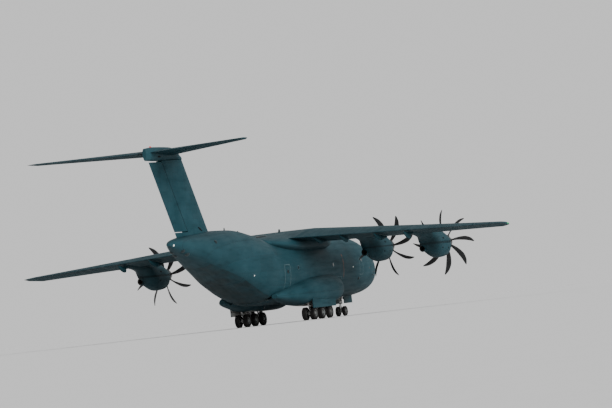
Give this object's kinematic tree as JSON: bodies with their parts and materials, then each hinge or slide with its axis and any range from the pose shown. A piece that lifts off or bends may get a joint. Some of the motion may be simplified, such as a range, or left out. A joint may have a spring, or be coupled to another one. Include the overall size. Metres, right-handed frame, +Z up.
{
  "type": "four-engined turboprop military transport plane, half-size model",
  "caption": "High-wing, T-tail military transport plane standing on its gear, with turning propellers and wheels, steering nose gear, ramp, cargo door, crew door, flaps and control surfaces.",
  "frame": {"origin": "on the ground, midway between the nose tip and the tailplane's tips, on the centre plane", "axes": "+X forward towards the nose, +Y to port (left), +Z up"},
  "size_m": [22.55, 21.18, 7.4],
  "materials": {
    "skin": "satin dark blue-grey paint",
    "nose_skin": "satin dark blue-grey paint",
    "composite": "satin dark blue-grey paint on composite",
    "belly": "satin dark grey paint",
    "inside": "matt grey-green interior paint",
    "engine": "bare metal",
    "strut": "light grey enamel",
    "blade": "black erosion coat",
    "tyre": "black rubber",
    "glass": "tinted glazing"
  },
  "bodies": {
    "airframe": {"cargo_floor": "inside", "centre_fuselage": "skin", "cockpit_deck": "inside", "engine_block_1": "engine", "engine_block_2": "engine", "engine_block_3": "engine", "engine_block_4": "engine", "engine_housing_1": "skin", "engine_housing_2": "skin", "engine_housing_3": "skin", "engine_housing_4": "skin", "fin": "composite", "instrument_panel": "inside", "main_gear_frame_left": "strut", "main_gear_frame_right": "strut", "nose_fuselage": "nose_skin", "nose_gear_door_left": "composite", "nose_gear_door_right": "composite", "nose_gear_leg": "strut", "rear_fuselage": "skin", "sponson_left": "composite", "sponson_right": "composite", "tail_fairing": "composite", "tailplane": "composite", "troop_door_left": "skin", "troop_door_right": "skin", "windscreen": "glass", "wing_centre": "composite", "wing_left": "composite", "wing_right": "composite"},
    "propeller_1": {"propeller_1": "blade"},
    "propeller_2": {"propeller_2": "blade"},
    "propeller_3": {"propeller_3": "blade"},
    "propeller_4": {"propeller_4": "blade"},
    "nose_fork": {"nose_gear_fork": "strut"},
    "nose_wheels": {"nose_wheels": "tyre"},
    "main_wheels_left_1": {"main_wheels_left_1": "tyre"},
    "main_wheels_left_2": {"main_wheels_left_2": "tyre"},
    "main_wheels_left_3": {"main_wheels_left_3": "tyre"},
    "main_wheels_right_1": {"main_wheels_right_1": "tyre"},
    "main_wheels_right_2": {"main_wheels_right_2": "tyre"},
    "main_wheels_right_3": {"main_wheels_right_3": "tyre"},
    "loading_ramp": {"loading_ramp": "belly"},
    "cargo_door": {"cargo_door": "belly"},
    "crew_door": {"crew_door": "skin"},
    "flap_inner_left": {"flap_inner_left": "composite"},
    "flap_inner_right": {"flap_inner_right": "composite"},
    "flap_outer_left": {"flap_outer_left": "composite"},
    "flap_outer_right": {"flap_outer_right": "composite"},
    "aileron_left": {"aileron_left": "composite"},
    "aileron_right": {"aileron_right": "composite"},
    "elevator_left": {"elevator_left": "composite"},
    "elevator_right": {"elevator_right": "composite"},
    "rudder": {"rudder": "composite"}
  },
  "joints": [
    {"name": "propeller_1_spin", "type": "hinge", "parent": "airframe", "child": "propeller_1", "pos_m": [5.175, 6.31, 2.545], "axis": [1, 0, 0], "continuous": true},
    {"name": "propeller_2_spin", "type": "hinge", "parent": "airframe", "child": "propeller_2", "pos_m": [6.025, 3.45, 2.675], "axis": [1, 0, 0], "continuous": true},
    {"name": "propeller_3_spin", "type": "hinge", "parent": "airframe", "child": "propeller_3", "pos_m": [6.025, -3.45, 2.675], "axis": [1, 0, 0], "continuous": true},
    {"name": "propeller_4_spin", "type": "hinge", "parent": "airframe", "child": "propeller_4", "pos_m": [5.175, -6.31, 2.545], "axis": [1, 0, 0], "continuous": true},
    {"name": "nose_steering", "type": "hinge", "parent": "airframe", "child": "nose_fork", "pos_m": [8.825, 0, 0.6], "axis": [0, 0, 1], "range_deg": [-60, 60]},
    {"name": "nose_wheels_spin", "type": "hinge", "parent": "nose_fork", "child": "nose_wheels", "pos_m": [8.825, 0, 0.20596], "axis": [0, 1, 0], "continuous": true},
    {"name": "main_wheels_left_1_spin", "type": "hinge", "parent": "airframe", "child": "main_wheels_left_1", "pos_m": [3.175, 1.485, 0.26726], "axis": [0, 1, 0], "continuous": true},
    {"name": "main_wheels_left_2_spin", "type": "hinge", "parent": "airframe", "child": "main_wheels_left_2", "pos_m": [2.325, 1.485, 0.26726], "axis": [0, 1, 0], "continuous": true},
    {"name": "main_wheels_left_3_spin", "type": "hinge", "parent": "airframe", "child": "main_wheels_left_3", "pos_m": [1.475, 1.485, 0.26726], "axis": [0, 1, 0], "continuous": true},
    {"name": "main_wheels_right_1_spin", "type": "hinge", "parent": "airframe", "child": "main_wheels_right_1", "pos_m": [3.175, -1.485, 0.26726], "axis": [0, 1, 0], "continuous": true},
    {"name": "main_wheels_right_2_spin", "type": "hinge", "parent": "airframe", "child": "main_wheels_right_2", "pos_m": [2.325, -1.485, 0.26726], "axis": [0, 1, 0], "continuous": true},
    {"name": "main_wheels_right_3_spin", "type": "hinge", "parent": "airframe", "child": "main_wheels_right_3", "pos_m": [1.475, -1.485, 0.26726], "axis": [0, 1, 0], "continuous": true},
    {"name": "ramp_hinge", "type": "hinge", "parent": "airframe", "child": "loading_ramp", "pos_m": [-1.2, 0, 1.175], "axis": [0, -1, 0], "range_deg": [0, 29]},
    {"name": "cargo_door_hinge", "type": "hinge", "parent": "airframe", "child": "cargo_door", "pos_m": [-6.125, 0, 2.8], "axis": [0, -1, 0], "range_deg": [0, 27]},
    {"name": "crew_door_hinge", "type": "hinge", "parent": "airframe", "child": "crew_door", "pos_m": [8.15, 1.1275, 1.1675], "axis": [-1, 0, 0], "range_deg": [0, 140]},
    {"name": "flap_inner_hinge_left", "type": "hinge", "parent": "airframe", "child": "flap_inner_left", "pos_m": [1.36919, 2.9375, 3.06131], "axis": [0.1295, -0.9902, 0.0523], "range_deg": [0, 38]},
    {"name": "flap_inner_hinge_right", "type": "hinge", "parent": "airframe", "child": "flap_inner_right", "pos_m": [1.36919, -2.9375, 3.06131], "axis": [-0.1295, -0.9902, -0.0523], "range_deg": [0, 38]},
    {"name": "flap_outer_hinge_left", "type": "hinge", "parent": "airframe", "child": "flap_outer_left", "pos_m": [0.99572, 5.805, 2.91197], "axis": [0.1285, -0.9904, 0.0509], "range_deg": [0, 38]},
    {"name": "flap_outer_hinge_right", "type": "hinge", "parent": "airframe", "child": "flap_outer_right", "pos_m": [0.99572, -5.805, 2.91197], "axis": [-0.1285, -0.9904, -0.0509], "range_deg": [0, 38]},
    {"name": "aileron_hinge_left", "type": "hinge", "parent": "airframe", "child": "aileron_left", "pos_m": [0.76154, 8.7125, 3.07729], "axis": [0.121, -0.9915, 0.0475], "range_deg": [-25, 25]},
    {"name": "aileron_hinge_right", "type": "hinge", "parent": "airframe", "child": "aileron_right", "pos_m": [0.76154, -8.7125, 3.07729], "axis": [-0.121, -0.9915, -0.0475], "range_deg": [-25, 25]},
    {"name": "elevator_hinge_left", "type": "hinge", "parent": "airframe", "child": "elevator_left", "pos_m": [-9.97846, 2.275, 7.20982], "axis": [0.4168, -0.9089, -0.0131], "range_deg": [-30, 15]},
    {"name": "elevator_hinge_right", "type": "hinge", "parent": "airframe", "child": "elevator_right", "pos_m": [-9.97846, -2.275, 7.20982], "axis": [-0.4168, -0.9089, 0.0131], "range_deg": [-30, 15]},
    {"name": "rudder_hinge", "type": "hinge", "parent": "airframe", "child": "rudder", "pos_m": [-7.97673, 0, 5.395], "axis": [-0.5389, 0, 0.8424], "range_deg": [-30, 30]}
  ],
  "couplings": [
    {"joint": "flap_outer_hinge_left", "follows": "flap_inner_hinge_left", "ratio": 1},
    {"joint": "flap_inner_hinge_right", "follows": "flap_inner_hinge_left", "ratio": 1},
    {"joint": "flap_outer_hinge_right", "follows": "flap_inner_hinge_left", "ratio": 1},
    {"joint": "aileron_hinge_right", "follows": "aileron_hinge_left", "ratio": -1},
    {"joint": "elevator_hinge_right", "follows": "elevator_hinge_left", "ratio": 1}
  ]
}
